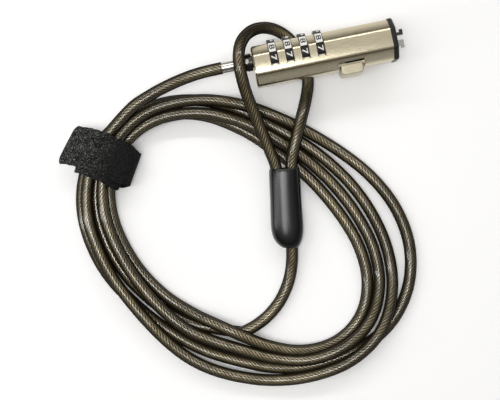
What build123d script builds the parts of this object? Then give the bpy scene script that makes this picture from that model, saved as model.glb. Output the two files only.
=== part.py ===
from build123d import *
from math import cos, pi, radians, sin, tan
import os

# Combination cable lock, millimetres.
# +X runs along the barrel towards the locking head, +Z is up.
# The origin is the centre of the head's front face.

# ---- the table that the lock and the cable lie on
FLOOR = -14.2                # under the barrel's axis: the case lies on the cable's loop

# ---- barrel case: a softened octagon
HALF = 8.3                   # across flats / 2
FLAT = 4.0                   # half the width of each main flat
WALL = 1.3
TAIL_X = -58.8
TAIL_WALL = 2.2
CAP_THICK = 2.2
EDGE_ROUND = 2.0

# ---- combination dials, on a spindle beside the case's centre
SPINDLE_Y = 2.6
SPINDLE_R = 1.6
DIAL_R = 7.5
DIAL_WIDTH = 3.1
DIAL_PITCH = 6.4
DIAL_FIRST_X = -50.2
DIAL_COUNT = 4
DIAL_FIELDS = 10
DIAL_AT_REST = -8.0          # degrees that the shown field leans towards -Y
WHEEL_R = 5.0                # ring bore and code wheel rim
SLOT_WIDTH = 3.4
SLOT_END_Y = -1.7
GROOVE_R = 7.85
RUN_CLEAR = 0.05             # radial clearance of every turning fit
REAR_PLATE_X = (-54.3, -53.3)
FRONT_PLATE_X = (-28.6, -27.4)

# ---- swivel at the tail
YOKE_R = 3.65
YOKE_END_X = -64.6
YOKE_FACE_X = -59.1
PIN_X = -61.3
PIN_R = 1.0
EYE_R = 1.6
TONGUE_HALF = 1.75
NECK_R = 2.5
NECK_END_X = -54.6
RING_X = (-56.2, -55.6)
RING_SEAT_R = 1.9
PIN_HEAD_R = 1.3
FERRULE_R = 2.3
FERRULE_END_X = -71.6
FERRULE_START_X = -65.4

# ---- locking head: two hooks for a 3 x 7 mm slot
PIVOT_X = -12.0
CLAW_LEVEL = 0.05            # half the gap between the two claws
CLAW_THICK = 1.35
HOOK_BACK_X = 2.4
HOOK_TIP_X = 3.7
HOOK_TIP_Y = 3.7
CLAW_TAIL = 9.0              # from the pivot back to the drive peg
CLAW_TAIL_Y = 2.2
PEG_R = 0.5
CLAW_SWING = 2.6             # degrees to close each claw
PUSH = 2.0                   # button and slider travel

# ---- push button on the -Y side
BUTTON_X = (-24.4, -15.4)
BUTTON_Z = (-5.5, 6.3)
BUTTON_FACE_Y = -10.9
FLANGE_Y = (-6.9, -6.0)       # the flange that keeps the button in the case
BUTTON_GAP = 0.5
BUTTON_HEAD_GAP = 1.2        # the wider gap on the head's side
OPENING_END_Y = -4.8

# ---- mechanism chassis
PLATE_Z = (-5.4, -3.9)
SLIDER_Z = (-3.8, -2.2)
SLIDER_X = (-24.0, -15.5)
SLIDER_HALF = 3.2
WEDGE_X = (-24.2, -21.0)
WEDGE_SUM = -26.2            # x + y along the button's 45 degree drive face
WEDGE_GAP = 0.15
FRAME_SCREW_X = (-23.0, -8.0)
FRAME_SCREW_R = 0.8
FRAME_SCREW_HEAD_R = 1.5
SPRING_Y = 5.0
SPRING_Z = -2.2
SPRING_R = 1.2
SPRING_WIRE = 0.2

# ---- cable: wire rope in a clear sheath
CABLE_R = 2.5

# ---- coil, lying on the table; heights are above the table
COIL_CENTRE = (-75.8, -68.2)
COIL_HEIGHT = 10.8
COIL_LOW = 5.2               # one layer, where the loop's legs cross it
CROSSING_X = (-74.0, -30.0)
CROSSING_Y = (-52.0, -8.0)
COIL_OUTER = (64.9, [(-0.7, -0.3), (1.7, -9.8), (1.7, 0.4), (-0.5, -0.9)])
COIL_INNER = (45.7, [(-3.4, 2.1), (-1.4, -12.4), (-0.3, -0.3), (-1.6, 1.2)])
COIL_STATIONS = 24

# ---- loop sleeve
SLEEVE_TOP = (-54.4, -42.4, 8.4)
SLEEVE_BOTTOM = (-59.1, -75.6, 5.4)
SLEEVE_LENGTH = 33.6
SLEEVE_HALF_TOP = 6.5
SLEEVE_HALF = 6.9
SLEEVE_THICK = 5.4           # half thickness
LEG_OFFSET = 2.9
TAIL_OFFSET = 1.6
CRIMP_DEPTH = (5.0, 25.0)
CRIMP_HALF = (5.9, 3.4)

# ---- hook-and-loop tie strap
STRAP_CENTRE = (-127.5, -23.5)
STRAP_TURN = -31.0
STRAP_WIDTH = 17.5
STRAP_THICK = 1.8            # two layers
STRAP_INSIDE = (-8.0, 11.9)
STRAP_FLAP = -17.0
FLAP_HEIGHT = (8.0, 9.2)

# ---- cable routes: x, y and height of the centre line over the table
LEAD_ROUTE = [
    (-71.6, 2.6, 14.2), (-77.6, 2.6, 14.2), (-84.8, 2.1, 13.2), (-92.0, 0.9, 11.4),
    (-98.8, -0.7, 9.8), (-104.6, -2.6, 8.7), (-109.6, -4.9, 8.1),
]
LOOP_ROUTE = [
    (-52.2, -47.8, 8.0), (-51.4, -42.0, 8.6), (-49.6, -36.6, 10.2), (-47.2, -31.4, 11.0),
    (-44.7, -26.2, 10.8), (-42.0, -20.8, 9.0), (-39.4, -15.4, 6.0), (-37.3, -9.8, 3.3),
    (-36.4, -3.8, 2.5), (-37.2, 2.2, 2.5), (-39.4, 7.8, 2.9), (-42.9, 12.6, 4.3),
    (-47.6, 15.7, 7.0), (-53.0, 16.5, 10.9), (-58.2, 14.7, 15.1), (-61.9, 11.0, 18.9),
    (-63.9, 6.2, 21.6), (-64.6, 1.0, 22.3), (-64.5, -4.4, 20.9), (-63.9, -10.2, 17.8),
    (-62.7, -16.2, 14.9), (-61.4, -22.4, 12.8), (-60.0, -28.8, 11.2), (-58.7, -35.2, 10.0),
    (-57.4, -41.4, 8.7), (-58.0, -47.0, 8.0),
]
TAIL_ROUTE = [
    (-56.3, -67.4, 6.2), (-57.5, -75.8, 5.3), (-59.2, -84.0, 3.5), (-62.5, -91.5, 2.6),
    (-68.0, -98.6, 2.5), (-75.5, -104.0, 2.5), (-84.0, -107.0, 2.5),
]

MIN3 = (Align.CENTER, Align.CENTER, Align.MIN)


# ---------------------------------------------------------------- helpers

def block(x, y, z):
    """A box between two values on each axis."""
    centre = Pos((x[0] + x[1]) / 2, (y[0] + y[1]) / 2, (z[0] + z[1]) / 2)
    return centre * Box(x[1] - x[0], y[1] - y[0], z[1] - z[0])


def rod_x(radius, x, y=0.0, z=0.0):
    plane = Plane(origin=(x[0], y, z), x_dir=(0, 1, 0), z_dir=(1, 0, 0))
    return plane * Cylinder(radius, x[1] - x[0], align=MIN3)


def rod_z(radius, z, x=0.0, y=0.0):
    return Pos(x, y, z[0]) * Cylinder(radius, z[1] - z[0], align=MIN3)


def octagon(half, flat, x):
    corners = [(flat, half), (half, flat), (half, -flat), (flat, -half),
               (-flat, -half), (-half, -flat), (-half, flat), (-flat, half)]
    face = Plane.YZ.offset(x[0]) * Polygon(*corners, align=None)
    return extrude(face, x[1] - x[0], dir=(1, 0, 0))


def plate_z(outline, z):
    """A flat plate with this outline in X and Y."""
    face = Plane.XY.offset(z[0]) * Polygon(*outline, align=None)
    return extrude(face, z[1] - z[0], dir=(0, 0, 1))


def corner_radii(points):
    """The largest round arc for each corner of a cable's route."""
    radii = []
    for before, here, after in zip(points, points[1:], points[2:]):
        arriving = Vector(*here) - Vector(*before)
        leaving = Vector(*after) - Vector(*here)
        turn = radians(arriving.get_angle(leaving))
        radii.append(0.45 * min(arriving.length, leaving.length) / tan(turn / 2))
    return radii


def cable_tube(name, route):
    points = [(x, y, FLOOR + height) for x, y, height in route]
    radii = corner_radii(points)
    path = FilletPolyline(*points, radius=radii)
    section = Plane(origin=path @ 0, z_dir=path % 0) * Circle(CABLE_R)
    tube = sweep(section, path=path)
    expected = pi * CABLE_R ** 2 * path.length
    print(name, "length", round(path.length, 1), "radii", [round(r, 1) for r in radii])
    print(name, "volume over section x length", round(tube.volume / expected, 4))
    return tube


def write(shape, name):
    shape.label = name
    export_step(shape, f"parts/{name}.step")


# ---------------------------------------------------------------- barrel

def dial_centres():
    return [DIAL_FIRST_X + DIAL_PITCH * i for i in range(DIAL_COUNT)]


def barrel_case():
    case = octagon(HALF, FLAT, (TAIL_X, -CAP_THICK))
    case = fillet(case.edges().filter_by(Axis.X), EDGE_ROUND)
    case = chamfer(case.edges().group_by(Axis.X)[0], 0.6)
    inside = HALF - WALL
    case -= octagon(inside, inside - 3.6, (TAIL_X + TAIL_WALL, 0))
    case -= rod_x(NECK_R + RUN_CLEAR, (TAIL_X - 1, TAIL_X + TAIL_WALL + 1), SPINDLE_Y)
    for x in dial_centres():
        slot_x = (x - SLOT_WIDTH / 2, x + SLOT_WIDTH / 2)
        case -= rod_x(GROOVE_R, slot_x, SPINDLE_Y)
        index_mark = rod_z(1.5, (0, 10), x, SLOT_END_Y - 0.9)
        case -= block(slot_x, (SLOT_END_Y, 12), (0, 10)) - index_mark
    opening_x = (BUTTON_X[0] - BUTTON_GAP, BUTTON_X[1] + BUTTON_HEAD_GAP)
    opening_z = (BUTTON_Z[0] - BUTTON_GAP, BUTTON_Z[1] + BUTTON_GAP)
    case -= block(opening_x, (-12, OPENING_END_Y), opening_z)
    for x in FRAME_SCREW_X:
        case -= rod_z(FRAME_SCREW_R + 0.1, (-9, -6), x)
        case -= rod_z(FRAME_SCREW_HEAD_R, (-9, -7.7), x)
    return case


def head_cap():
    cap = octagon(HALF + 0.3, FLAT + 0.15, (-CAP_THICK, 0))
    cap = fillet(cap.edges().filter_by(Axis.X), EDGE_ROUND)
    cap = fillet(cap.edges().group_by(Axis.X)[-1], 0.9)
    spigot_half = HALF - WALL - 0.05
    spigot = octagon(spigot_half, spigot_half - 3.6, (-CAP_THICK - 2.0, -CAP_THICK))
    spigot -= octagon(spigot_half - 1.4, spigot_half - 4.3, (-CAP_THICK - 3.0, -CAP_THICK))
    window = block((-5, 1), (-4.3, 4.3), (-1.7, 1.7))
    return cap + spigot - window


def mechanism_frame():
    frame = block((-26.2, -4.6), (-4.4, 4.4), PLATE_Z)
    frame += block((-14.6, -13.4), (3.4, 6.4), (PLATE_Z[1], -0.8))
    front = block((-5.8, -4.6), (-5.0, 5.0), (PLATE_Z[0], 5.0))
    frame += front - block((-7, -3), (-4.3, 4.3), (-1.7, 1.7))
    for x in FRAME_SCREW_X:
        frame += rod_z(2.0, (-6.95, PLATE_Z[0]), x)
        frame -= rod_z(FRAME_SCREW_R, (-8, PLATE_Z[1] + 1), x)
    frame -= rod_z(PIN_R, (PLATE_Z[0] - 1, 0), PIVOT_X)
    return frame


def frame_screws():
    screws = []
    for x in FRAME_SCREW_X:
        screw = rod_z(FRAME_SCREW_R, (-7.7, PLATE_Z[1] - 0.1), x)
        head = rod_z(FRAME_SCREW_HEAD_R - 0.05, (-8.25, -7.7), x)
        slot = block((x - 2, x + 2), (-0.2, 0.2), (-9, -8.0))
        screws.append(screw + head - slot)
    return Compound(screws)


def claw_pivot_pin():
    return rod_z(PIN_R, (PLATE_Z[0], 2.0), PIVOT_X) + rod_z(1.8, (1.6, 2.3), PIVOT_X)


def end_plate(x):
    """A plate that fills the cavity and carries one end of the spindle."""
    half = HALF - WALL - 0.05
    plate = octagon(half, half - 3.6, x)
    plate -= rod_x(SPINDLE_R, (x[0] - 1, x[1] + 1), SPINDLE_Y)
    return plate


def dial_spindle():
    spindle = rod_x(SPINDLE_R, (REAR_PLATE_X[0], FRONT_PLATE_X[1] + 0.6), SPINDLE_Y)
    spindle += rod_x(SPINDLE_R + 0.9, (FRONT_PLATE_X[1], FRONT_PLATE_X[1] + 0.9), SPINDLE_Y)
    return spindle


def dial_spacers():
    """Tubes on the spindle that keep the dials apart."""
    gap = 0.06
    edges = [REAR_PLATE_X[1]]
    for x in dial_centres():
        edges += [x - DIAL_WIDTH / 2, x + DIAL_WIDTH / 2]
    edges.append(FRONT_PLATE_X[0])
    tubes = []
    for low, high in zip(edges[::2], edges[1::2]):
        span = (low + gap, high - gap)
        tubes.append(rod_x(2.9, span, SPINDLE_Y) - rod_x(SPINDLE_R, span, SPINDLE_Y))
    return Compound(tubes)


def detent_spring():
    """A leaf along the case wall with one rounded finger for each dial."""
    back = -6.9
    leaf = block((-52.4, -28.8), (back, back + 0.35), (-2.6, 2.6))
    for x in dial_centres():
        finger = block((x - 1.0, x + 1.0), (back + 0.2, -5.6), (-0.4, 0.4))
        leaf += finger + rod_x(0.4, (x - 1.0, x + 1.0), -5.6)
    return leaf


# ---------------------------------------------------------------- dials

def dial_ring(x):
    span = (x - DIAL_WIDTH / 2, x + DIAL_WIDTH / 2)
    ring = rod_x(DIAL_R, span, SPINDLE_Y)
    ring = chamfer(ring.edges(), 0.2)
    ring -= rod_x(WHEEL_R, (span[0] - 1, span[1] + 1), SPINDLE_Y)
    for i in range(DIAL_FIELDS):
        angle = radians(90 - DIAL_AT_REST + 360 / DIAL_FIELDS * (i + 0.5))
        y = SPINDLE_Y + DIAL_R * cos(angle)
        z = DIAL_R * sin(angle)
        ring -= rod_x(0.3, (span[0] - 1, span[1] + 1), y, z)
    return ring


def code_wheel(x):
    span = (x - DIAL_WIDTH / 2 + 0.1, x + DIAL_WIDTH / 2 - 0.1)
    wheel = rod_x(WHEEL_R, span, SPINDLE_Y)
    wheel -= rod_x(SPINDLE_R + RUN_CLEAR, (span[0] - 1, span[1] + 1), SPINDLE_Y)
    wheel -= block((x + 0.4, span[1] + 1), (SPINDLE_Y - 0.7, SPINDLE_Y + 0.7), (-6, -3.4))
    return wheel


# ---------------------------------------------------------------- swivel

def swivel_yoke():
    yoke = rod_x(YOKE_R, (YOKE_END_X, YOKE_FACE_X), SPINDLE_Y)
    yoke = fillet(yoke.edges().group_by(Axis.X)[0], 1.2)
    neck = rod_x(NECK_R, (YOKE_FACE_X, NECK_END_X), SPINDLE_Y)
    groove = rod_x(NECK_R + 1, RING_X, SPINDLE_Y) - rod_x(RING_SEAT_R, RING_X, SPINDLE_Y)
    yoke = yoke + neck - groove
    slot_z = (-TONGUE_HALF - 0.1, TONGUE_HALF + 0.1)
    yoke -= block((YOKE_END_X - 1, PIN_X), (-5, 10), slot_z)
    yoke -= rod_z(EYE_R + 0.15, slot_z, PIN_X, SPINDLE_Y)
    yoke -= rod_z(PIN_R, (-5, 5), PIN_X, SPINDLE_Y)
    for z in ((3.2, 5), (-5, -3.2)):
        yoke -= rod_z(PIN_HEAD_R, z, PIN_X, SPINDLE_Y)
    return yoke


def clevis_pin():
    pin = rod_z(PIN_R, (-3.2, 3.2), PIN_X, SPINDLE_Y)
    pin += rod_z(PIN_HEAD_R, (3.2, 4.1), PIN_X, SPINDLE_Y)
    pin += rod_z(PIN_HEAD_R, (-4.1, -3.2), PIN_X, SPINDLE_Y)
    ends = pin.edges().group_by(Axis.Z)
    return fillet(ends[-1] + ends[0], 0.6)


def retaining_ring():
    ring = rod_x(4.1, RING_X, SPINDLE_Y) - rod_x(RING_SEAT_R, RING_X, SPINDLE_Y)
    return ring - block((-60, -50), (SPINDLE_Y - 1.0, SPINDLE_Y + 1.0), (-6, 0))


def swivel_washer():
    span = (RING_X[0] - 0.3, RING_X[0])
    return rod_x(4.3, span, SPINDLE_Y) - rod_x(NECK_R, span, SPINDLE_Y)


def cable_terminal():
    """The crimped ferrule on the cable's end, with a flat eye for the clevis pin."""
    ferrule = rod_x(FERRULE_R, (FERRULE_END_X, FERRULE_START_X), SPINDLE_Y)
    ferrule = chamfer(ferrule.edges().group_by(Axis.X)[-1], 0.5)
    tongue_z = (-TONGUE_HALF, TONGUE_HALF)
    tongue = block((FERRULE_START_X, PIN_X), (SPINDLE_Y - EYE_R, SPINDLE_Y + EYE_R), tongue_z)
    tongue += rod_z(EYE_R, tongue_z, PIN_X, SPINDLE_Y)
    return ferrule + tongue - rod_z(PIN_R + RUN_CLEAR, (-3, 3), PIN_X, SPINDLE_Y)


# ---------------------------------------------------------------- head mechanism

def push_button():
    body = block(BUTTON_X, (BUTTON_FACE_Y, FLANGE_Y[0]), BUTTON_Z)
    outer = body.edges().filter_by(Axis.Z).group_by(Axis.Y)[0]
    body = fillet(outer, 1.6)
    body = fillet(body.edges().group_by(Axis.Z)[-1], 0.4)
    flange = block((BUTTON_X[0] - 1.4, BUTTON_X[1] + 2.0), FLANGE_Y, (-3.3, 3.3))
    wedge = plate_z([(WEDGE_X[0], FLANGE_Y[0]), (WEDGE_X[1], FLANGE_Y[0]),
                     (WEDGE_X[1], WEDGE_SUM - WEDGE_X[1]),
                     (WEDGE_X[0], WEDGE_SUM - WEDGE_X[0])], SLIDER_Z)
    return body + flange + wedge


def claw_slider():
    """A plate that the button's wedge drives towards the head."""
    corner_y = WEDGE_SUM + WEDGE_GAP - SLIDER_X[0]
    corner_x = WEDGE_SUM + WEDGE_GAP + SLIDER_HALF
    slider = plate_z([(SLIDER_X[0], corner_y), (corner_x, -SLIDER_HALF),
                      (SLIDER_X[1], -SLIDER_HALF), (SLIDER_X[1], SLIDER_HALF),
                      (SLIDER_X[0], SLIDER_HALF)], SLIDER_Z)
    slider += block((-24.0, -22.8), (SLIDER_HALF, 6.2), (SLIDER_Z[0], -0.9))
    peg_x = PIVOT_X - CLAW_TAIL
    shift = CLAW_TAIL * radians(CLAW_SWING)
    width = PEG_R + 0.15
    for side in (1, -1):
        y = side * CLAW_TAIL_Y
        y_end = y - side * shift
        slider -= plate_z([(peg_x + width, y - width), (peg_x + width, y + width),
                           (peg_x - PUSH - width, y_end + width),
                           (peg_x - PUSH - width, y_end - width)], (-5, 0))
    return slider


def return_spring():
    start_x = -22.7
    length = 8.0
    coil = Helix(pitch=length / 6.5, height=length, radius=SPRING_R)
    wire = Plane(origin=coil @ 0, z_dir=coil % 0) * Circle(SPRING_WIRE)
    spring = sweep(wire, path=coil)
    place = Plane(origin=(start_x, SPRING_Y, SPRING_Z), x_dir=(0, 1, 0), z_dir=(1, 0, 0))
    return place * spring


def claw(side, z, peg_low, neck):
    """One hook. side is +1 or -1 for the way the hook faces."""
    inner, outer = neck
    tip = [(2.2, side * inner), (HOOK_TIP_X, side * inner), (HOOK_TIP_X, side * HOOK_TIP_Y),
           (HOOK_BACK_X, side * HOOK_TIP_Y), (HOOK_BACK_X, side * outer),
           (-9.0, side * outer), (PIVOT_X, side * 2.2), (PIVOT_X, -side * 0.6),
           (-9.0, side * inner)]
    lever = plate_z(tip, z)
    lever += rod_z(2.3, z, PIVOT_X)
    peg_x = PIVOT_X - CLAW_TAIL
    peg_y = -side * CLAW_TAIL_Y
    lever += plate_z([(PIVOT_X, -side * 2.1), (PIVOT_X, side * 0.2),
                      (peg_x, peg_y + side * 0.8), (peg_x - 0.9, peg_y),
                      (peg_x, peg_y - side * 0.8)], z)
    lever += rod_z(PEG_R, (peg_low, z[0]), peg_x, peg_y)
    return lever - rod_z(PIN_R + RUN_CLEAR, (z[0] - 1, z[1] + 1), PIVOT_X)


# ---------------------------------------------------------------- cable

def coil_radius(shape, angle):
    mean, waves = shape
    radius = mean
    for k, (along, across) in enumerate(waves, start=1):
        radius += along * cos(k * angle) + across * sin(k * angle)
    return radius


def coil_face(shape):
    points = []
    for i in range(COIL_STATIONS):
        angle = 2 * pi * i / COIL_STATIONS
        radius = coil_radius(shape, angle)
        points.append((COIL_CENTRE[0] + radius * cos(angle), COIL_CENTRE[1] + radius * sin(angle)))
    return make_face(Spline(*points, periodic=True))


def cable_coil(neighbours):
    """The closed outer shape of the coiled turns, cleared for what is wrapped round it."""
    face = Plane.XY.offset(FLOOR) * (coil_face(COIL_OUTER) - coil_face(COIL_INNER))
    coil = extrude(face, COIL_HEIGHT)
    coil -= block(CROSSING_X, CROSSING_Y, (FLOOR + COIL_LOW, FLOOR + COIL_HEIGHT + 1))
    for neighbour in neighbours:
        coil -= neighbour
    return coil


def sleeve_plane(depth):
    """A plane across the sleeve: local x across the two legs, local z down the sleeve."""
    top = Vector(*SLEEVE_TOP)
    axis = (Vector(*SLEEVE_BOTTOM) - top).normalized()
    across = Vector(0, 0, 1).cross(axis).normalized()
    origin = top + axis * depth + Vector(0, 0, FLOOR)
    return Plane(origin=origin, x_dir=across, z_dir=axis)


def oval(half_x, half_y):
    return SlotOverall(2 * half_x, 2 * half_y)


def loop_sleeve():
    stations = [(0.0, SLEEVE_HALF_TOP, SLEEVE_THICK - 0.2), (26.0, SLEEVE_HALF, SLEEVE_THICK),
                (31.0, SLEEVE_HALF - 1.0, SLEEVE_THICK - 0.7),
                (SLEEVE_LENGTH, SLEEVE_HALF - 3.2, SLEEVE_THICK - 2.2)]
    sections = [sleeve_plane(d) * Ellipse(a, b) for d, a, b in stations]
    sleeve = loft(sections[:2]) + loft(sections[1:3], ruled=True) + loft(sections[2:], ruled=True)
    chamber = sleeve_plane(CRIMP_DEPTH[0]) * oval(*CRIMP_HALF)
    sleeve -= extrude(chamber, CRIMP_DEPTH[1] - CRIMP_DEPTH[0])
    for side in (1, -1):
        sleeve -= sleeve_plane(-1) * Pos(side * LEG_OFFSET, 0, 0) * Cylinder(
            CABLE_R, CRIMP_DEPTH[0] + 2, align=MIN3)
    sleeve -= sleeve_plane(CRIMP_DEPTH[1] - 1) * Pos(TAIL_OFFSET, 0, 0) * Cylinder(
        CABLE_R, 12, align=MIN3)
    return sleeve


def loop_crimp():
    face = sleeve_plane(CRIMP_DEPTH[0]) * oval(*CRIMP_HALF)
    return extrude(face, CRIMP_DEPTH[1] - CRIMP_DEPTH[0])


def tie_strap():
    top = COIL_HEIGHT + STRAP_THICK
    outer_x = (STRAP_INSIDE[0] - STRAP_THICK, STRAP_INSIDE[1] + STRAP_THICK)
    half = STRAP_WIDTH / 2
    band = block(outer_x, (-half, half), (0, top))
    corners = band.edges().filter_by(Axis.Y)
    band = fillet(corners, 2.4)
    band -= block(STRAP_INSIDE, (-half - 1, half + 1), (STRAP_THICK, COIL_HEIGHT))
    flap = block((STRAP_FLAP, outer_x[0] + 1), (-half, half), FLAP_HEIGHT)
    place = Pos(*STRAP_CENTRE, FLOOR) * Rot(0, 0, STRAP_TURN)
    return place * (band + flap)


# ---------------------------------------------------------------- write every part

os.makedirs("parts", exist_ok=True)

write(barrel_case(), "barrel_case")
write(head_cap(), "head_cap")
write(mechanism_frame(), "mechanism_frame")
write(frame_screws(), "frame_screws")
write(claw_pivot_pin(), "claw_pivot_pin")
write(end_plate(REAR_PLATE_X), "rear_plate")
write(end_plate(FRONT_PLATE_X), "front_plate")
write(dial_spindle(), "dial_spindle")
write(dial_spacers(), "dial_spacers")
write(detent_spring(), "detent_spring")

for number, dial_x in enumerate(dial_centres(), start=1):
    write(dial_ring(dial_x), f"dial_ring_{number}")
    write(code_wheel(dial_x), f"code_wheel_{number}")

write(swivel_yoke(), "swivel_yoke")
write(clevis_pin(), "clevis_pin")
write(retaining_ring(), "retaining_ring")
write(swivel_washer(), "swivel_washer")
write(cable_terminal(), "cable_terminal")

claw_top = (CLAW_LEVEL, CLAW_LEVEL + CLAW_THICK)
claw_bottom = (-CLAW_LEVEL - CLAW_THICK, -CLAW_LEVEL)
write(push_button(), "push_button")
write(claw_slider(), "claw_slider")
write(return_spring(), "return_spring")
write(claw(1, claw_top, SLIDER_Z[0] + 0.2, (1.4, 2.6)), "claw_upper")
write(claw(-1, claw_bottom, SLIDER_Z[0] + 0.2, (0.4, 2.9)), "claw_lower")

strap_solid = tie_strap()
sleeve_solid = loop_sleeve()
crimp_solid = loop_crimp()
write(strap_solid, "tie_strap")
write(sleeve_solid, "loop_sleeve")
write(crimp_solid, "loop_crimp")
write(cable_coil([strap_solid, sleeve_solid, crimp_solid]), "cable_coil")
write(cable_tube("lead", LEAD_ROUTE), "cable_lead")
write(cable_tube("loop", LOOP_ROUTE), "cable_loop")
write(cable_tube("tail", TAIL_ROUTE), "cable_tail")
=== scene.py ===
import math
import random

import bmesh
import bpy
from mathutils import Matrix, Vector


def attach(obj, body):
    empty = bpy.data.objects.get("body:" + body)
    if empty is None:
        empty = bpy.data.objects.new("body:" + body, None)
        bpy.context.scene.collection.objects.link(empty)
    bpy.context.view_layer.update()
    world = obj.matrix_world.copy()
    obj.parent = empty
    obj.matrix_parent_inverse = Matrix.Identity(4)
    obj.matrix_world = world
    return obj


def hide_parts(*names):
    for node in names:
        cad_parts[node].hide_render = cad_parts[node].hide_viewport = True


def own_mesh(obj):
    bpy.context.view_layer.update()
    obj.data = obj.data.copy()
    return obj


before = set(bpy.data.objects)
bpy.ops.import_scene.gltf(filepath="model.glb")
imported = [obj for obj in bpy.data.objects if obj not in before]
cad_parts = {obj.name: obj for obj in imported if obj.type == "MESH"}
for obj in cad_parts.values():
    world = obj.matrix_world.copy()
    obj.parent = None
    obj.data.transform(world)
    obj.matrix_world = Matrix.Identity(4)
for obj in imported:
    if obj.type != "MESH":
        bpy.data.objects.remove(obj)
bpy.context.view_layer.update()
random.seed(7)

# +X runs along the barrel towards the locking head and +Z is up.
MM = 0.001
FLOOR = -14.2                # the table's height, in mm from the barrel's axis


# ---------------------------------------------------------------- camera, lights and room

CAMERA_PLACE = (-0.07097, -0.05277, 0.3858)
CAMERA_TURN = -11.35         # degrees about its line of sight, straight down
LENS = 67.7                  # in mm, on a 36 mm sensor
CENTRE = (-0.07, -0.06, -0.01)


def add_camera():
    data = bpy.data.cameras.new("camera")
    data.lens = LENS
    data.sensor_width = 36
    camera = bpy.data.objects.new("camera", data)
    camera.location = CAMERA_PLACE
    camera.rotation_euler = (0, 0, math.radians(CAMERA_TURN))
    bpy.context.scene.collection.objects.link(camera)
    bpy.context.scene.camera = camera


def set_stops(elements, stops):
    """Gives a colour ramp these stops: each a position and a colour."""
    while len(elements) < len(stops):
        elements.new(0.5)
    for element, (place, value) in zip(elements, stops):
        element.position = place
        element.color = (*value, 1)


def add_area(name, place, size, power):
    """A rectangular light that points at the object's middle."""
    data = bpy.data.lights.new(name, "AREA")
    data.shape = "RECTANGLE"
    data.size, data.size_y = size
    data.energy = power
    light = bpy.data.objects.new(name, data)
    light.location = place
    aim = Vector(CENTRE) - Vector(place)
    light.rotation_euler = aim.to_track_quat("-Z", "Y").to_euler()
    bpy.context.scene.collection.objects.link(light)


add_camera()
add_area("overhead", (-0.15, -0.12, 0.74), (0.24, 0.30), 1.5)
add_area("softbox_left", (-0.46, 0.06, 0.62), (0.26, 0.26), 0.35)
add_area("strip_far", (0.0, 0.44, 0.50), (1.30, 0.06), 1.8)
add_area("strip_left", (-0.54, -0.06, 0.46), (0.04, 1.10), 1.0)

BRIGHTEST = (-0.10, 0.34, 0.935)     # the direction of the room's brightest part
ROOM = [                             # from the opposite direction (0) to the brightest (1)
    (0.0, (0.50, 0.50, 0.51)), (0.42, (0.40, 0.40, 0.40)), (0.50, (0.05, 0.04, 0.03)),
    (0.66, (0.085, 0.072, 0.052)), (0.86, (0.34, 0.335, 0.32)), (1.0, (0.66, 0.65, 0.63)),
]


def add_world():
    """A room that is pale below, dark brown at the horizon and brightest overhead."""
    room = bpy.data.worlds.new("studio")
    bpy.context.scene.world = room
    room.use_nodes = True
    nodes, links = room.node_tree.nodes, room.node_tree.links
    place = nodes.new("ShaderNodeTexCoord")
    lean = nodes.new("ShaderNodeVectorMath")
    lean.operation = "DOT_PRODUCT"
    lean.inputs[1].default_value = BRIGHTEST
    links.new(place.outputs["Generated"], lean.inputs[0])
    ramp = nodes.new("ShaderNodeValToRGB")
    set_stops(ramp.color_ramp.elements, ROOM)
    half = nodes.new("ShaderNodeMath")
    half.operation = "MULTIPLY_ADD"
    half.inputs[1].default_value = 0.5
    half.inputs[2].default_value = 0.5
    links.new(lean.outputs["Value"], half.inputs[0])
    links.new(half.outputs[0], ramp.inputs["Fac"])
    links.new(ramp.outputs["Color"], nodes["Background"].inputs["Color"])


add_world()
bpy.context.scene.view_settings.view_transform = "Standard"


# ---------------------------------------------------------------- material helpers

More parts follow.
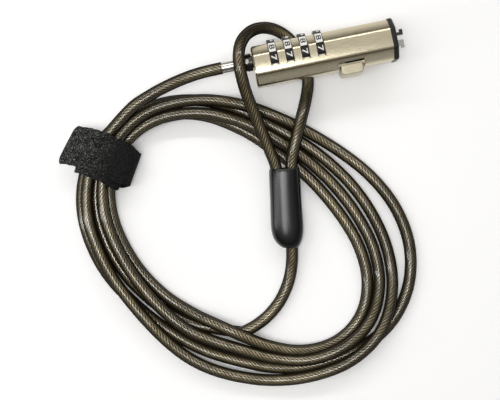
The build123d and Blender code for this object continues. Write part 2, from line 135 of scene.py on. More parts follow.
class Graph:
    """A material's node tree with short calls for the nodes that this scene uses."""

    def __init__(self, name):
        self.material = bpy.data.materials.new(name)
        self.material.use_nodes = True
        self.tree = self.material.node_tree
        self.shader = self.tree.nodes["Principled BSDF"]
        self.output = self.tree.nodes["Material Output"]

    def node(self, kind, **settings):
        made = self.tree.nodes.new(kind)
        for key, value in settings.items():
            setattr(made, key, value)
        return made

    def link(self, source, target):
        self.tree.links.new(source, target)

    def put(self, target, value):
        """Sets an input from a socket or from a plain value."""
        if isinstance(value, bpy.types.NodeSocket):
            self.link(value, target)
        else:
            target.default_value = value

    def set(self, **values):
        """Sets the shader's inputs, each from a socket or from a plain value."""
        for key, value in values.items():
            self.put(self.shader.inputs[key.replace("_", " ")], value)

    def coords(self, scale=(1, 1, 1)):
        """The object's own coordinates, in metres, times this scale."""
        place = self.node("ShaderNodeTexCoord")
        mapping = self.node("ShaderNodeMapping")
        mapping.inputs["Scale"].default_value = scale
        self.link(place.outputs["Object"], mapping.inputs["Vector"])
        return mapping.outputs["Vector"]

    def noise(self, scale, vector=None, detail=4.0, rough=0.6):
        made = self.node("ShaderNodeTexNoise")
        made.inputs["Scale"].default_value = scale
        made.inputs["Detail"].default_value = detail
        made.inputs["Roughness"].default_value = rough
        self.link(vector or self.coords(), made.inputs["Vector"])
        return made.outputs["Fac"]

    def ramp(self, source, stops):
        made = self.node("ShaderNodeValToRGB")
        set_stops(made.color_ramp.elements, stops)
        self.link(source, made.inputs["Fac"])
        return made.outputs["Color"]

    def math(self, operation, a, b=0.0):
        made = self.node("ShaderNodeMath", operation=operation)
        self.put(made.inputs[0], a)
        self.put(made.inputs[1], b)
        return made.outputs[0]

    def mix(self, factor, a, b, blend="MIX"):
        made = self.node("ShaderNodeMix", data_type="RGBA", blend_type=blend)
        self.put(made.inputs["Factor"], factor)
        self.put(made.inputs[6], a)
        self.put(made.inputs[7], b)
        return made.outputs[2]

    def uneven(self, source, middle, spread):
        """A value that the source, from 0 to 1, moves by this spread about its middle."""
        return self.math("ADD", self.math("MULTIPLY", source, spread), middle - spread / 2)

    def crowned(self, crown):
        """The surface's normal, leaning a little outwards from the X axis."""
        geometry = self.node("ShaderNodeNewGeometry")
        across = self.node("ShaderNodeVectorMath", operation="MULTIPLY")
        across.inputs[1].default_value = (0, crown, crown)
        self.link(self.coords(), across.inputs[0])
        turned = self.node("ShaderNodeVectorTransform", convert_from="OBJECT",
                           convert_to="WORLD", vector_type="VECTOR")
        self.link(across.outputs[0], turned.inputs[0])
        both = self.node("ShaderNodeVectorMath", operation="ADD")
        self.link(geometry.outputs["Normal"], both.inputs[0])
        self.link(turned.outputs[0], both.inputs[1])
        unit = self.node("ShaderNodeVectorMath", operation="NORMALIZE")
        self.link(both.outputs[0], unit.inputs[0])
        return unit.outputs[0]

    def bump(self, height, strength, distance, normal=None):
        made = self.node("ShaderNodeBump")
        if normal is not None:
            self.link(normal, made.inputs["Normal"])
        made.inputs["Strength"].default_value = strength
        made.inputs["Distance"].default_value = distance
        self.link(height, made.inputs["Height"])
        self.link(made.outputs["Normal"], self.shader.inputs["Normal"])


def grey(value):
    return (value, value, value)


def metal(name, color, dark, rough, brushed=(1, 1, 1), grain=900.0, bump=0.05, crown=None):
    """Plated or bare metal with a fine grain, faint stains and a little uneven gloss."""
    g = Graph(name)
    fine = g.noise(grain, g.coords(brushed), 5.0, 0.7)
    cloud = g.noise(90.0, None, 3.0)
    tone = g.mix(g.math("MULTIPLY", cloud, 0.5), (*color, 1), (*dark, 1))
    streak = g.ramp(fine, [(0.35, grey(0.86)), (0.65, grey(1.0))])
    g.set(Base_Color=g.mix(1.0, tone, streak, "MULTIPLY"), Metallic=1.0,
          Roughness=g.uneven(fine, rough, 0.16))
    g.bump(fine, bump, 0.0002, g.crowned(crown) if crown else None)
    return g.material


def plastic(name, color, rough, grain, depth):
    """Moulded plastic with a fine texture and a little uneven colour and gloss."""
    g = Graph(name)
    fine = g.noise(grain, None, 4.0)
    cloud = g.noise(120.0, None, 3.0)
    lighter = tuple(c * 1.15 + 0.004 for c in color)
    g.set(Base_Color=g.mix(cloud, (*color, 1), (*lighter, 1)), Specular_IOR_Level=0.3,
          Roughness=g.uneven(cloud, rough, 0.12))
    g.bump(fine, 0.35, depth)
    return g.material


def paint(node, material):
    """Gives a CAD node this material."""
    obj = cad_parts[node]
    obj.data.materials.clear()
    obj.data.materials.append(material)


def add_mesh(name, verts, faces, material, smooth=True):
    """A mesh object of this material."""
    mesh = bpy.data.meshes.new(name)
    mesh.from_pydata(verts, [], faces)
    mesh.validate()
    mesh.update()
    obj = bpy.data.objects.new(name, mesh)
    bpy.context.scene.collection.objects.link(obj)
    obj.data.materials.append(material)
    for face in mesh.polygons:
        face.use_smooth = smooth
    return obj


# ---------------------------------------------------------------- the cable's route

# Control points in mm: x, y and height over the table.
LEAD = [
    (-71.6, 2.6, 14.2), (-77.6, 2.6, 14.2), (-84.8, 2.1, 13.4), (-92.0, 0.9, 12.2),
    (-98.8, -0.7, 11.1), (-104.4, -2.6, 10.6),
]
LOOP = [
    (-52.2, -47.8, 8.0), (-51.4, -42.0, 8.6), (-49.6, -36.6, 10.2), (-47.2, -31.4, 11.0),
    (-44.7, -26.2, 10.8), (-42.0, -20.8, 9.0), (-39.4, -15.4, 6.0), (-37.3, -9.8, 3.3),
    (-36.4, -3.8, 2.5), (-37.2, 2.2, 2.5), (-39.4, 7.8, 2.9), (-42.9, 12.6, 4.3),
    (-47.6, 15.7, 7.0), (-53.0, 16.5, 10.9), (-58.2, 14.7, 15.1), (-61.9, 11.0, 18.9),
    (-63.9, 6.2, 21.6), (-64.6, 1.0, 22.3), (-64.5, -4.4, 20.9), (-63.9, -10.2, 17.8),
    (-62.7, -16.2, 14.9), (-61.4, -22.4, 12.8), (-60.0, -28.8, 11.2), (-58.7, -35.2, 10.0),
    (-57.4, -41.4, 8.7), (-58.0, -47.0, 8.0),
]
TAIL = [
    (-84.0, -107.0, 2.5), (-75.5, -104.0, 2.5), (-68.0, -98.6, 2.5), (-62.5, -91.5, 2.6),
    (-59.2, -84.0, 3.5), (-57.5, -75.8, 5.3), (-56.3, -67.4, 6.2), (-54.6, -57.0, 7.2),
]

# The coil's turns lie in a band round this centre. Its two edges are each a mean radius and waves
# round it: a cosine and a sine for each whole number of waves. These eighteen numbers weren't
# chosen by hand: they are a least-squares fit to points read off the photo.
COIL_CENTRE = (-75.8, -68.2)
BAND_OUTER = (64.9, [(-0.7, -0.3), (1.7, -9.8), (1.7, 0.4), (-0.5, -0.9)])
BAND_INNER = (45.7, [(-3.4, 2.1), (-1.4, -12.4), (-0.3, -0.3), (-1.6, 1.2)])
BAND_MARGIN = 2.6            # from an edge of the band to the middle of the cable beside it
COIL_SCALE = 1.012           # spreads the turns a little from the centre
# At each angle in degrees, every pass of the cable, in its own order: its place across the band
# (0 inside, 1 outside) and its height over the table. The last pass ends at 255 degrees.
STATIONS = [
    (120, [(1.08, 10.0), (1.00, 2.5), (0.60, 7.2), (-0.05, 5.5), (0.35, 2.5)]),
    (139, [(0.75, 8.2), (1.00, 4.0), (0.22, 8.2), (0.00, 4.0), (0.50, 4.0)]),
    (158, [(0.78, 7.2), (1.00, 2.6), (0.20, 7.2), (0.00, 2.6), (0.50, 2.6)]),
    (180, [(0.80, 7.0), (1.00, 2.5), (0.20, 7.0), (0.00, 2.5), (0.50, 2.5)]),
    (203, [(0.90, 6.6), (0.86, 2.5), (0.32, 7.0), (0.00, 2.5), (0.42, 2.5)]),
    (225, [(1.00, 5.0), (0.73, 2.5), (0.43, 6.9), (0.00, 3.5), (0.30, 2.5)]),
    (240, [(1.00, 4.5), (0.68, 2.5), (0.38, 6.2), (0.00, 6.8), (0.12, 2.5)]),
    (255, [(0.97, 4.0), (0.62, 2.5), (0.32, 6.0), (0.00, 7.4), (-0.02, 2.5)]),
    (270, [(1.00, 3.5), (0.65, 2.5), (0.33, 5.0), (0.00, 5.5)]),
    (285, [(1.00, 5.8), (0.66, 2.5), (0.38, 5.5), (0.00, 4.5)]),
    (300, [(1.00, 7.0), (0.70, 2.5), (0.30, 7.0), (0.00, 2.5)]),
    (315, [(0.82, 7.0), (0.97, 2.5), (0.35, 5.5), (0.00, 2.5)]),
    (330, [(0.62, 3.6), (1.00, 2.5), (0.30, 3.2), (0.00, 2.5)]),
    (345, [(0.54, 2.5), (1.00, 2.5), (0.27, 3.0), (0.00, 2.5)]),
    (360, [(0.53, 2.5), (1.00, 2.5), (0.26, 2.8), (0.00, 2.5)]),
    (375, [(0.57, 2.5), (1.00, 2.5), (0.28, 2.8), (0.00, 2.5)]),
    (390, [(0.61, 2.5), (1.00, 2.5), (0.30, 3.2), (0.00, 2.5)]),
    (405, [(0.66, 2.5), (1.00, 3.2), (0.33, 4.0), (0.00, 2.5)]),
    (420, [(0.66, 2.5), (1.00, 4.8), (0.33, 5.0), (0.00, 2.5)]),
    (440, [(0.76, 2.5), (1.00, 5.6), (0.30, 6.0), (0.03, 2.5)]),
    (460, [(1.00, 2.5), (0.85, 7.2), (0.10, 7.2), (0.10, 2.5)]),
]


def band_radius(shape, angle):
    """The radius of one edge of the coil's band at this angle."""
    radius, waves = shape
    for k, (along, across) in enumerate(waves, start=1):
        radius += along * math.cos(k * angle) + across * math.sin(k * angle)
    return radius


def coil_point(degrees, share, height):
    """A point of the route at this angle, place across the band and height."""
    angle = math.radians(degrees)
    inner = band_radius(BAND_INNER, angle) + BAND_MARGIN
    outer = band_radius(BAND_OUTER, angle) - BAND_MARGIN
    radius = (inner + (outer - inner) * share) * COIL_SCALE
    return (COIL_CENTRE[0] + radius * math.cos(angle),
            COIL_CENTRE[1] + radius * math.sin(angle), height)


def coil_route():
    """The coil's points, one pass after the other."""
    first_station = STATIONS[0][1]
    return [coil_point(degrees, *passes[turn]) for turn in range(len(first_station))
            for degrees, passes in STATIONS if turn < len(passes)]


ROUTE = [Vector((x, y, FLOOR + h)) * MM for x, y, h in LEAD + coil_route() + TAIL + LOOP]


def route_curve(name, radius):
    """A round tube along the cable's route, as one NURBS line."""
    curve = bpy.data.curves.new(name, "CURVE")
    curve.dimensions = "3D"
    curve.resolution_u = 12
    spline = curve.splines.new("NURBS")
    spline.points.add(len(ROUTE) - 1)
    for point, place in zip(spline.points, ROUTE):
        point.co = (*place, 1)
    spline.order_u = 3
    spline.use_endpoint_u = True
    curve.bevel_depth = radius
    curve.bevel_resolution = 5
    obj = bpy.data.objects.new(name, curve)
    bpy.context.scene.collection.objects.link(obj)
    return obj


def centre_line():
    """Points along the route's spline."""
    bare = route_curve("bare_route", 0.0)
    bpy.context.view_layer.update()
    mesh = bpy.data.meshes.new_from_object(bare)
    points = [v.co.copy() for v in mesh.vertices]
    bpy.data.objects.remove(bare)
    return points


def even_points(points, step):
    """The same line with its points this far apart."""
    spaced = [points[0]]
    left = step
    for a, b in zip(points, points[1:]):
        length = (b - a).length
        while left <= length:
            spaced.append(a.lerp(b, left / length))
            left += step
        left -= length
    return spaced


STEP = 0.00085               # between the stations of a strand, in metres
LINE = even_points(centre_line(), STEP)


def frames_along(points):
    """Each point with its direction and a sideways vector that doesn't twist along the line."""
    result = []
    side = None
    for i, here in enumerate(points):
        ahead = points[min(i + 1, len(points) - 1)] - points[max(i - 1, 0)]
        ahead.normalize()
        if side is None:
            side = ahead.orthogonal().normalized()
        side = (side - ahead * side.dot(ahead)).normalized()
        result.append((here, ahead, side))
    return result


# ---------------------------------------------------------------- wire rope and sheath

def rope_material():
    """Pale warm steel wire, in duller and brighter stretches."""
    g = Graph("rope_wire")
    fine = g.noise(1500.0, None, 4.0)
    cloud = g.noise(260.0, None, 3.0)
    stretch = g.ramp(g.noise(16.0, None, 2.0), [(0.38, grey(0.50)), (0.60, grey(1.0))])
    tone = g.ramp(cloud, [(0.30, (0.52, 0.47, 0.35)), (0.70, (1.0, 0.93, 0.74))])
    g.set(Base_Color=g.mix(1.0, tone, stretch, "MULTIPLY"), Metallic=0.45, Roughness=0.36)
    g.bump(fine, 0.25, 0.0001)
    return g.material


def core_material():
    """Painted shade between the strands: the core is near black, so the gaps between them read dark."""
    g = Graph("rope_core_shade")
    cloud = g.noise(400.0, None, 3.0)
    # painted shade: the gaps between the strands, near black
    tone = g.ramp(cloud, [(0.30, (0.010, 0.008, 0.005)), (0.70, (0.026, 0.020, 0.012))])
    g.set(Base_Color=tone, Roughness=0.7)
    return g.material


def sheath_material():
    """Clear smoky vinyl: nearly clear face on, dark at grazing angles, with a gloss."""
    g = Graph("sheath")
    cloud = g.noise(150.0, None, 3.0)
    facing = g.node("ShaderNodeLayerWeight")
    facing.inputs["Blend"].default_value = 0.5
    clear = g.node("ShaderNodeBsdfTransparent")
    tint = g.mix(cloud, (0.96, 0.92, 0.81, 1), (0.84, 0.78, 0.64, 1))
    g.link(tint, clear.inputs["Color"])
    body = g.node("ShaderNodeBsdfDiffuse")
    body.inputs["Color"].default_value = (0.018, 0.014, 0.008, 1)
    edge = g.ramp(facing.outputs["Facing"],
                  [(0.05, grey(0.06)), (0.15, grey(0.40)), (0.31, grey(0.97))])
    inside = g.node("ShaderNodeMixShader")
    g.link(edge, inside.inputs[0])
    g.link(clear.outputs[0], inside.inputs[1])
    g.link(body.outputs[0], inside.inputs[2])
    gloss = g.node("ShaderNodeBsdfGlossy")
    gloss.inputs["Roughness"].default_value = 0.13
    rim = g.ramp(facing.outputs["Facing"], [(0.35, grey(1.0)), (0.60, (0.24, 0.23, 0.17))])
    g.link(rim, gloss.inputs["Color"])
    fresnel = g.node("ShaderNodeFresnel")
    fresnel.inputs["IOR"].default_value = 1.6
    outside = g.node("ShaderNodeMixShader")
    g.link(g.math("MINIMUM", fresnel.outputs[0], 0.044), outside.inputs[0])
    g.link(inside.outputs[0], outside.inputs[1])
    g.link(gloss.outputs[0], outside.inputs[2])
    g.link(outside.outputs[0], g.output.inputs["Surface"])
    return g.material


SHEATH_R = 0.0025
CORE_R = 0.00125


def add_rope(material, strands=7, pitch=0.0125, helix=0.00144, radius=0.00040, sides=6):
    """The outer strands of the wire rope, laid right-handed round the centre line."""
    stations = frames_along(LINE)
    verts, faces = [], []
    flat = 0.92              # a strand's width as a share of its height
    for k in range(strands):
        first = len(verts)
        for i, (here, ahead, side) in enumerate(stations):
            other = ahead.cross(side)
            angle = 2 * math.pi * (i * STEP / pitch + k / strands)
            out = side * math.cos(angle) + other * math.sin(angle)
            centre = here + out * helix
            round_way = other * math.cos(angle) - side * math.sin(angle)
            lay = (ahead + round_way * (2 * math.pi * helix / pitch)).normalized()
            across = lay.cross(out).normalized()
            for j in range(sides):
                turn = 2 * math.pi * j / sides
                verts.append(centre + out * (radius * math.cos(turn))
                             + across * (radius * flat * math.sin(turn)))
        for i in range(len(stations) - 1):
            a = first + i * sides
            for j in range(sides):
                b = (j + 1) % sides
                faces.append((a + j, a + b, a + b + sides, a + j + sides))
        faces.append(tuple(reversed(range(first, first + sides))))
        faces.append(tuple(range(len(verts) - sides, len(verts))))
    return add_mesh("rope_strands", verts, faces, material)


sheath = route_curve("cable_sheath_tube", SHEATH_R)
sheath.data.use_fill_caps = True
sheath.data.materials.append(sheath_material())
# a near-black tube inside the strands: painted shade in the gaps between them
core = route_curve("rope_core_tube", CORE_R)
core.data.bevel_resolution = 2
core.data.use_fill_caps = True
core.data.materials.append(core_material())
rope = add_rope(rope_material())
for piece in (sheath, core, rope):
    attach(piece, "cable")
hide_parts("cable_lead", "cable_coil", "cable_loop", "cable_tail")


# ---------------------------------------------------------------- loop sleeve

SLEEVE_TOP = Vector((-54.4, -42.4, FLOOR + 8.4)) * MM
SLEEVE_BOTTOM = Vector((-59.1, -75.6, FLOOR + 5.4)) * MM
# Down the sleeve: depth, half width, half thickness and sideways shift.
SLEEVE_RINGS = [
    (0.9, 3.0, 2.6, 0.0), (0.35, 5.0, 4.0, 0.0), (0.0, 5.8, 4.6, 0.0), (0.15, 6.2, 4.95, 0.0),
    (0.8, 6.45, 5.15, 0.0), (6.0, 6.5, 5.2, 0.0), (14.0, 6.6, 5.25, 0.0), (22.0, 6.85, 5.35, 0.0),
    (25.0, 6.9, 5.4, 0.0), (28.0, 6.6, 5.3, 0.05), (30.2, 5.9, 4.9, 0.2), (31.9, 4.9, 4.3, 0.5),
    (33.0, 3.9, 3.6, 0.8), (33.5, 3.2, 3.1, 1.0), (33.55, 2.9, 2.85, 1.1), (33.2, 2.55, 2.55, 1.2),
]


def rubber_material():
    """Smooth black rubber with a clear highlight."""
    g = Graph("sleeve_rubber")
    fine = g.noise(2600.0, None, 4.0)
    cloud = g.noise(70.0, None, 3.0)
    tone = g.mix(cloud, (0.004, 0.004, 0.005, 1), (0.010, 0.010, 0.012, 1))
    g.set(Base_Color=tone, Specular_IOR_Level=0.55, Roughness=g.uneven(cloud, 0.24, 0.06))
    g.bump(fine, 0.12, 0.0001)
    return g.material


def add_sleeve(material, sides=40, square=0.85):
    """The moulding: rings a little squarer than an ellipse, skinned and capped."""
    axis = (SLEEVE_BOTTOM - SLEEVE_TOP).normalized()
    across = Vector((0, 0, 1)).cross(axis).normalized()
    up = axis.cross(across)
    verts, faces = [], []
    for depth, half_w, half_t, shift in SLEEVE_RINGS:
        centre = SLEEVE_TOP + axis * depth * MM + across * shift * MM
        for j in range(sides):
            turn = 2 * math.pi * j / sides
            c, s = math.cos(turn), math.sin(turn)
            x = math.copysign(abs(c) ** square, c) * half_w * MM
            y = math.copysign(abs(s) ** square, s) * half_t * MM
            verts.append(centre + across * x + up * y)
    rings = len(SLEEVE_RINGS)
    for r in range(rings - 1):
        for j in range(sides):
            b = (j + 1) % sides
            faces.append((r * sides + j, r * sides + b, (r + 1) * sides + b, (r + 1) * sides + j))
    faces.append(tuple(reversed(range(sides))))
    faces.append(tuple(range((rings - 1) * sides, rings * sides)))
    obj = add_mesh("sleeve_moulding", verts, faces, material)
    bm = bmesh.new()
    bm.from_mesh(obj.data)
    bmesh.ops.recalc_face_normals(bm, faces=bm.faces)
    bm.to_mesh(obj.data)
    bm.free()
    soften = obj.modifiers.new("soften", "SUBSURF")
    soften.levels = soften.render_levels = 1
    return obj


sleeve = add_sleeve(rubber_material())
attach(sleeve, "cable")
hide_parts("loop_sleeve")


# ---------------------------------------------------------------- tie strap

STRAP_PLACE = Matrix.Translation(Vector((-127.5, -23.5, FLOOR)) * MM) @ Matrix.Rotation(
    math.radians(-31.0), 4, "Z")
STRAP_WIDTH = 17.3
STRAP_THICK = 1.1
STRAP_MARGIN = 0.4           # how much narrower it lies than it is cut
PINCH, PINCH_FROM, PINCH_OVER = 0.16, 10.5, 2.8      # narrower still where it bends down
ROUNDED_END = 1.3            # how far the free end's corners are drawn in
WAVE, FUZZ, EDGE_CURL = 0.10, 0.035, 0.25            # of its surface, and of its edges
# The strap's way round the coil: across the coil, height over the table, shift along the coil,
# and the slant of its end. It starts at the free end of the outer layer and ends under it.
STRAP_WAY = [
    (-17.4, 8.3, 0.2, 0.14), (-14.6, 9.4, 0.4, 0.12), (-11.5, 10.7, 0.9, 0.08),
    (-8.0, 11.7, 1.5, 0.04), (-4.0, 12.1, 1.8, 0.0), (0.5, 12.1, 1.6, 0.0), (5.0, 11.8, 1.0, 0.0),
    (9.2, 10.9, 0.5, -0.02), (12.5, 8.9, 0.0, -0.02), (13.8, 6.0, -0.2, 0.0),
    (13.3, 3.0, -0.6, 0.0), (10.6, 0.8, -1.0, 0.0), (6.0, 0.6, -1.2, 0.0), (0.0, 0.6, -1.2, 0.0),
    (-6.0, 0.6, -1.2, 0.0), (-8.8, 1.6, -1.2, 0.0), (-9.5, 4.5, -1.2, 0.0), (-9.2, 7.6, -1.2, 0.0),
    (-7.4, 9.9, -1.0, 0.0), (-4.0, 10.9, -0.8, 0.0), (1.0, 11.0, -0.9, 0.0),
    (5.5, 10.7, -1.5, 0.08), (9.0, 9.7, -2.3, 0.18), (11.6, 7.7, -2.7, 0.26), (12.6, 5.2, -2.7, 0.30),
]


def strap_material():
    """Near-black pile: on the outer layer's free end its loops stand up as bright specks, partly
    painted light where that end faces the light; further along it is darker and smoother, and that
    darkening is painted shade.
    """
    g = Graph("hook_and_loop")
    pile = g.noise(3000.0, None, 6.0, 0.75)
    tuft = g.noise(1500.0, None, 3.0, 0.6)
    both = g.math("ADD", g.math("MULTIPLY", pile, 0.5), g.math("MULTIPLY", tuft, 0.5))
    # the free end: fuzzy pile with bright specks, partly painted light where that end faces the light
    lit_fuzzy_pile = g.ramp(both, [(0.44, grey(0.006)), (0.54, grey(0.034)), (0.64, (0.34, 0.34, 0.32))])
    # painted shade: the rest of the strap, darker and without the bright specks, where its pile is also
    # smoother
    shaded_smooth_pile = g.ramp(both, [(0.42, grey(0.004)), (0.62, grey(0.028))])
    along = g.node("ShaderNodeVectorMath", operation="DOT_PRODUCT")
    along.inputs[1].default_value = STRAP_PLACE.col[0].xyz
    g.link(g.coords(), along.inputs[0])
    # where the lit free end stops and the painted shade fades in, over fade
    fuzzy_to, fade = -0.007, 0.012       # metres along the strap, from its middle
    start = STRAP_PLACE.col[0].xyz.dot(STRAP_PLACE.translation) + fuzzy_to
    share = g.math("DIVIDE", g.math("SUBTRACT", along.outputs["Value"], start), fade)
    g.set(Base_Color=g.mix(share, lit_fuzzy_pile, shaded_smooth_pile), Roughness=0.9, Specular_IOR_Level=0.15)
    g.bump(both, 0.9, 0.0008)
    return g.material


def smooth_way(points, per_run):
    """Points on a smooth open line through the middles of these runs."""
    way = []
    for i in range(1, len(points) - 1):
        start = [(a + b) / 2 for a, b in zip(points[i - 1], points[i])]
        end = [(a + b) / 2 for a, b in zip(points[i], points[i + 1])]
        for j in range(per_run):
            t = j / per_run
            way.append(tuple((1 - t) ** 2 * a + 2 * t * (1 - t) * m + t * t * b
                             for a, m, b in zip(start, points[i], end)))
    return way


def add_strap(material, across=30, per_run=5):
    """The band along its way, and its length cut flat, in mm."""
    way = smooth_way(STRAP_WAY, per_run)
    verts, faces = [], []
    for i, (x, z, shift, slant) in enumerate(way):
        for j in range(across + 1):
            share = j / across
            ragged = 0.16 * math.sin(i * 1.7) + 0.12 * math.sin(i * 0.61 + 1.0)
            edge = abs(2 * share - 1) ** 8
            pinch = 1 - PINCH * min(max((x - PINCH_FROM) / PINCH_OVER, 0), 1)
            y = (share - 0.5) * (STRAP_WIDTH - STRAP_MARGIN + ragged) * pinch
            rounded = ROUNDED_END * edge * max(1 - i / per_run, 0)
            place = Vector((x + slant * y + rounded, y + shift, 0))
            lift = WAVE * math.sin(share * 5.1 + i * 0.13) + random.uniform(-FUZZ, FUZZ)
            curl = EDGE_CURL * edge if z > 6 else 0.0
            place.z = max(z + lift - curl, STRAP_THICK / 2)
            verts.append(STRAP_PLACE @ (place * MM))
    row = across + 1
    for i in range(len(way) - 1):
        for j in range(across):
            a = i * row + j
            faces.append((a, a + 1, a + row + 1, a + row))
    strap = add_mesh("strap_band", verts, faces, material)
    thick = strap.modifiers.new("thick", "SOLIDIFY")
    thick.thickness = STRAP_THICK * MM
    thick.offset = 0.0
    length = sum(math.dist(a[:2], b[:2]) for a, b in zip(way, way[1:]))
    return strap, length


strap, strap_length = add_strap(strap_material())
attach(strap, "cable")
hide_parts("tie_strap")


# ---------------------------------------------------------------- print on the dials

DIAL_COUNT = 4
DIAL_FIRST_X = -50.2
DIAL_PITCH = 6.4
SPINDLE_Y = 2.6
DIAL_R = 7.5
FIELDS = 10
SHOWN_DIGIT = 7
SHOWN_ANGLE = 98.0           # degrees from +Y towards +Z
FIELD_HALF_TURN = 17.0       # degrees
FIELD_HALF_WIDE = 1.36
DIGIT_WIDE, DIGIT_HIGH = 2.3, 2.2
WIDE_GLYPH = 0.42            # a narrower glyph, in the font's units, gives a narrower digit
GLYPH_CUT = 0.05             # between the cuts that let a glyph bend, in the font's units
PRINT_FOOT = -0.05           # the print's underside, over the dial's rim
FIELD_RISE = 0.02
DIGIT_RISE = 0.07


def on_dial(x, angle, rise):
    """A point this far over a dial's rim."""
    radius = (DIAL_R + rise) * MM
    return Vector((x * MM, SPINDLE_Y * MM + radius * math.cos(angle), radius * math.sin(angle)))


def add_field(bm, x, angle, cuts=10):
    """A white field: a thin curved plate, set into one tenth of the dial."""
    corners = ((-1, PRINT_FOOT), (-1, FIELD_RISE), (1, FIELD_RISE), (1, PRINT_FOOT))
    rows = []
    for i in range(cuts + 1):
        a = angle + math.radians(FIELD_HALF_TURN) * (2 * i / cuts - 1)
        rows.append([bm.verts.new(on_dial(x + side * FIELD_HALF_WIDE, a, rise))
                     for side, rise in corners])
    for low, high in zip(rows, rows[1:]):
        for j in range(4):
            k = (j + 1) % 4
            bm.faces.new((low[j], low[k], high[k], high[j]))
    bm.faces.new(rows[0])
    bm.faces.new(rows[-1])


def flat_glyph(digit):
    """A digit in Blender's own font, flat, without folded slivers and cut across to bend."""
    curve = bpy.data.curves.new("digit", "FONT")
    curve.body = str(digit)
    curve.align_x = "CENTER"
    curve.align_y = "CENTER"
    curve.offset = 0.010
    holder = bpy.data.objects.new("digit", curve)
    bpy.context.scene.collection.objects.link(holder)
    bpy.context.view_layer.update()
    flat = bpy.data.meshes.new_from_object(holder)
    bpy.data.objects.remove(holder)
    glyph = bmesh.new()
    glyph.from_mesh(flat)
    folded = [e for e in glyph.edges if len(e.link_faces) > 2]
    slivers = {min(e.link_faces, key=lambda f: f.calc_area()) for e in folded}
    bmesh.ops.delete(glyph, geom=[f for f in glyph.faces if f in slivers], context="FACES")
    bmesh.ops.dissolve_degenerate(glyph, dist=0.0005, edges=glyph.edges[:])
    for i in range(-6, 7):
        parts = glyph.verts[:] + glyph.edges[:] + glyph.faces[:]
        bmesh.ops.bisect_plane(glyph, geom=parts, plane_co=(i * GLYPH_CUT, 0, 0), plane_no=(1, 0, 0))
    return glyph


def add_digit(bm, digit, x, angle):
    """A digit on the dial's rim, its top towards the head."""
    glyph = flat_glyph(digit)
    low = Vector([min(v.co[k] for v in glyph.verts) for k in range(3)])
    high = Vector([max(v.co[k] for v in glyph.verts) for k in range(3)])
    middle, size = (low + high) / 2, high - low
    wide = DIGIT_WIDE * min(1.0, size.x / WIDE_GLYPH)
    tops, feet = {}, {}
    for v in glyph.verts:
        along = (v.co.x - middle.x) / size.x * wide
        up = (v.co.y - middle.y) / size.y * DIGIT_HIGH
        tops[v] = bm.verts.new(on_dial(x + up, angle + along / DIAL_R, DIGIT_RISE))
        feet[v] = bm.verts.new(on_dial(x + up, angle + along / DIAL_R, PRINT_FOOT))
    for face in glyph.faces:
        bm.faces.new([tops[v] for v in face.verts])
        bm.faces.new([feet[v] for v in reversed(face.verts)])
    for edge in glyph.edges:
        if edge.is_boundary:
            a, b = edge.verts
            bm.faces.new((tops[a], tops[b], feet[b], feet[a]))
    glyph.free()


def add_print(number, x, materials):
    """A dial's ten fields: white ones with a black digit, and white digits between them."""
    for colour, material in materials.items():
        bm = bmesh.new()
        for digit in range(FIELDS):
            angle = math.radians(SHOWN_ANGLE - 360 / FIELDS * (digit - SHOWN_DIGIT))
            white_field = digit % 2 == 0
            if white_field and colour == "white":
                add_field(bm, x, angle)
            if white_field == (colour == "black"):
                add_digit(bm, digit, x, angle)
        mesh = bpy.data.meshes.new(f"dial_{number}_{colour}_print")
        bmesh.ops.recalc_face_normals(bm, faces=bm.faces)
        bm.to_mesh(mesh)
        bm.free()
        obj = bpy.data.objects.new(mesh.name, mesh)
        bpy.context.scene.collection.objects.link(obj)
        mesh.materials.append(material)
        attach(obj, f"dial_{number}")


INKS = {
    "white": plastic("white_print", (0.78, 0.77, 0.74), 0.42, 1800.0, 0.00005),
    "black": plastic("black_print", (0.010, 0.010, 0.010), 0.40, 1800.0, 0.00005),
}
for number in range(1, DIAL_COUNT + 1):
    add_print(number, DIAL_FIRST_X + DIAL_PITCH * (number - 1), INKS)


# ---------------------------------------------------------------- floor

def floor_material():
    """A matt table with a painted pool of light: white round the object and greyer far away. It also
    glows a little with the same pool, which washes out the shadows near the object.
    """
    g = Graph("table_top")
    away = g.node("ShaderNodeVectorMath", operation="DISTANCE")
    away.inputs[1].default_value = (-0.07, -0.05, 0)
    g.link(g.coords(), away.inputs[0])
    # painted light: a white pool round the object, fading to grey further off
    pale = g.ramp(away.outputs["Value"], [(0.150, grey(0.97)), (0.25, (0.52, 0.51, 0.49)),
                                          (0.50, (0.42, 0.41, 0.39))])
    cloud = g.ramp(g.noise(3.0, None, 2.0), [(0.3, grey(0.97)), (0.7, grey(1.0))])
    # the glow, in the same pool, lightens the shadows near the object
    g.set(Base_Color=g.mix(1.0, pale, cloud, "MULTIPLY"), Roughness=0.6,
          Emission_Color=pale, Emission_Strength=0.14)
    return g.material


FLOOR_HALF = 3
FLOOR_GAP = 0.0002           # between the lowest turns and the table
floor = add_mesh("table_plane",
                 [(x * FLOOR_HALF, y * FLOOR_HALF, 0) for x, y in ((-1, -1), (1, -1), (1, 1), (-1, 1))],
                 [(0, 1, 2, 3)], floor_material(), smooth=False)
floor.location.z = FLOOR * MM - FLOOR_GAP


# ---------------------------------------------------------------- CAD nodes' materials

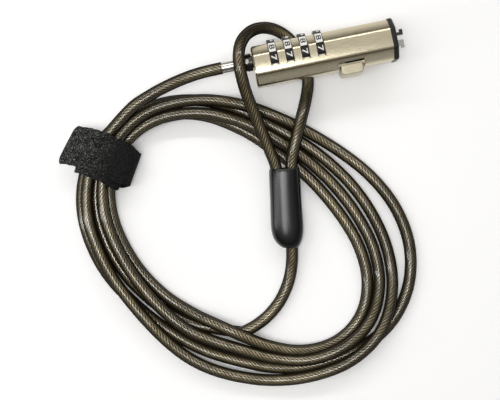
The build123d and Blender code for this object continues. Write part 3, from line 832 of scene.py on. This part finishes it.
champagne = metal("champagne", (0.72, 0.65, 0.48), (0.62, 0.55, 0.39), 0.24, (1, 14, 14), 260.0,
                  0.05, 55.0)
button_plate = metal("button_plate", (0.62, 0.56, 0.42), (0.53, 0.47, 0.35), 0.34)
steel = metal("steel", (0.52, 0.51, 0.49), (0.44, 0.43, 0.41), 0.28, (1, 6, 6), 700.0)
bright = metal("bright_steel", (0.72, 0.70, 0.67), (0.64, 0.63, 0.60), 0.24, (1, 6, 6), 700.0)
nickel = metal("black_nickel", (0.08, 0.075, 0.07), (0.04, 0.04, 0.04), 0.30, (4, 4, 4), 200.0)
brass = metal("brass", (0.70, 0.52, 0.24), (0.50, 0.36, 0.16), 0.28, (6, 1, 6), 200.0)
zinc = metal("die_cast", (0.50, 0.50, 0.48), (0.38, 0.38, 0.37), 0.42, (1, 1, 1), 700.0, 0.12)
cap = plastic("cap_plastic", (0.012, 0.012, 0.012), 0.34, 2200.0, 0.0001)
dial = plastic("dial_plastic", (0.010, 0.010, 0.010), 0.30, 1800.0, 0.00008)

PAINTS = {
    "barrel_case": champagne, "push_button": button_plate, "head_cap": cap,
    "mechanism_frame": zinc, "frame_screws": steel, "claw_pivot_pin": steel, "rear_plate": zinc,
    "front_plate": zinc, "dial_spindle": steel, "dial_spacers": brass, "detent_spring": steel,
    "swivel_yoke": nickel, "clevis_pin": steel, "retaining_ring": steel,
    "swivel_washer": brass, "cable_terminal": bright, "claw_slider": zinc,
    "claw_upper": nickel, "claw_lower": steel, "loop_crimp": zinc,
}
for node, material in PAINTS.items():
    paint(node, material)
for number in range(1, DIAL_COUNT + 1):
    paint(f"dial_ring_{number}", dial)
    paint(f"code_wheel_{number}", brass)


# ---------------------------------------------------------------- return spring

SPRING_X = (-22.7, -14.7)    # its fixed end and its far end
SPRING_MIDDLE = (5.0, -2.2)  # y and z of its axis
SPRING_R = 1.2
SPRING_WIRE = 0.2


def add_spring(material, turns=6.5, per_turn=24, sides=6):
    """The slider's return spring, drawn at rest as a coil of wire; the real spring shortens as the
    button is pushed in.
    """
    verts, faces = [], []
    rings = round(turns * per_turn) + 1
    for i in range(rings):
        share = i / (rings - 1)
        angle = 2 * math.pi * turns * share
        out = Vector((0, math.cos(angle), math.sin(angle)))
        x = SPRING_X[0] + (SPRING_X[1] - SPRING_X[0]) * share
        centre = Vector((x, *SPRING_MIDDLE)) + out * SPRING_R
        for j in range(sides):
            turn = 2 * math.pi * j / sides
            wire = out * math.cos(turn) + Vector((math.sin(turn), 0, 0))
            verts.append((centre + wire * SPRING_WIRE) * MM)
    for i in range(rings - 1):
        for j in range(sides):
            a, b = i * sides + j, i * sides + (j + 1) % sides
            faces.append((a, b, b + sides, a + sides))
    faces.append(tuple(range(sides)))
    faces.append(tuple(reversed(range((rings - 1) * sides, rings * sides))))
    return add_mesh("spring_coil", verts, faces, material)


spring = add_spring(steel)
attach(spring, "slider")
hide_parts("return_spring")
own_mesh(spring)
